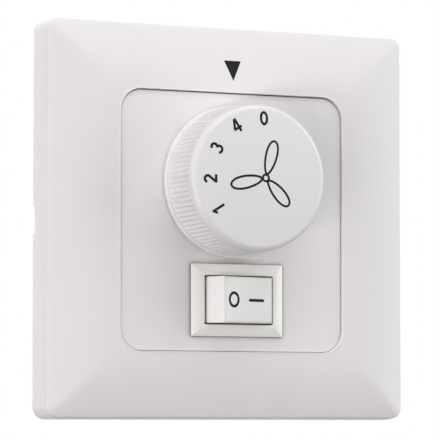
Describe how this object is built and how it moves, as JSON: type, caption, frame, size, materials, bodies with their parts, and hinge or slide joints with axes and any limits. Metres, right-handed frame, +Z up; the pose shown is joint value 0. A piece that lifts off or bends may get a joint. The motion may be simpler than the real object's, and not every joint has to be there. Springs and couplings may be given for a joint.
{
  "type": "fan speed control switch",
  "caption": "Square wall control for a ceiling fan: a fluted rotary knob selects the speed over a small rocker switch, on a centre plate in a pillow-faced cover frame.",
  "frame": {"origin": "middle of the wall screw pattern, on the wall plane", "axes": "+X to the right as seen from the front, +Y into the wall, +Z up"},
  "size_m": [0.082, 0.0558, 0.082],
  "materials": {
    "white_plastic": "satin moulded white",
    "knob_plastic": "satin moulded white",
    "ivory_plastic": "satin moulded ivory",
    "button_plastic": "satin moulded white",
    "spring_steel": "bright",
    "plated_steel": "zinc plated",
    "shaft_metal": "turned",
    "bushing_metal": "nickel plated",
    "switch_plastic": "moulded phenolic",
    "rotor_plastic": "natural nylon",
    "contact_brass": "stamped",
    "lead_red": "insulation",
    "lead_blue": "insulation",
    "housing_plastic": "moulded light grey",
    "board_laminate": "paper laminate",
    "capacitor_plastic": "moulded box",
    "resistor_coat": "lacquer",
    "block_plastic": "moulded"
  },
  "bodies": {
    "wall_body": {"cover_frame": "white_plastic", "centre_plate": "white_plastic", "rocker_housing": "ivory_plastic", "detent_spring": "spring_steel", "threaded_bushing": "bushing_metal", "plate_nut": "plated_steel", "mechanism_nut": "plated_steel", "plate_washer": "plated_steel", "support_plate": "plated_steel", "housing_screws": "plated_steel", "board_screws": "plated_steel", "terminal_screws": "plated_steel", "rotary_case": "switch_plastic", "rotary_base": "switch_plastic", "common_contact": "contact_brass", "speed_contact_1": "contact_brass", "speed_contact_2": "contact_brass", "speed_contact_3": "contact_brass", "speed_contact_4": "contact_brass", "rocker_terminal_common": "contact_brass", "rocker_terminal_switched": "contact_brass", "terminal_cages": "contact_brass", "rocker_lead_common": "lead_red", "rocker_lead_switched": "lead_blue", "rear_housing": "housing_plastic", "circuit_board": "board_laminate", "capacitor_1": "capacitor_plastic", "capacitor_2": "capacitor_plastic", "capacitor_3": "capacitor_plastic", "resistor_1": "resistor_coat", "resistor_2": "resistor_coat", "terminal_block": "block_plastic"},
    "knob_body": {"speed_knob": "knob_plastic", "knob_leaf_clip": "spring_steel", "control_shaft": "shaft_metal", "shaft_circlip": "spring_steel", "rotary_rotor": "rotor_plastic", "wiper_contact": "contact_brass"},
    "rocker_body": {"rocker_button": "button_plastic", "rocker_plunger": "rotor_plastic", "rocker_spring": "spring_steel"},
    "blade_body": {"contact_blade": "contact_brass"}
  },
  "joints": [
    {"name": "knob_turn", "type": "hinge", "parent": "wall_body", "child": "knob_body", "pos_m": [0, 0, 0.0083], "axis": [0, 1, 0], "range_deg": [0, 120], "deforming": ["detent_spring"]},
    {"name": "rocker_tilt", "type": "hinge", "parent": "wall_body", "child": "rocker_body", "pos_m": [0.00085, -0.0084, -0.0163], "axis": [0, 0, -1], "range_deg": [0, 30]},
    {"name": "blade_tilt", "type": "hinge", "parent": "wall_body", "child": "blade_body", "pos_m": [0.00085, -0.0018, -0.0163], "axis": [0, 0, 1], "range_deg": [0, 12]}
  ],
  "couplings": [
    {"joint": "blade_tilt", "follows": "rocker_tilt", "ratio": 0.4}
  ]
}
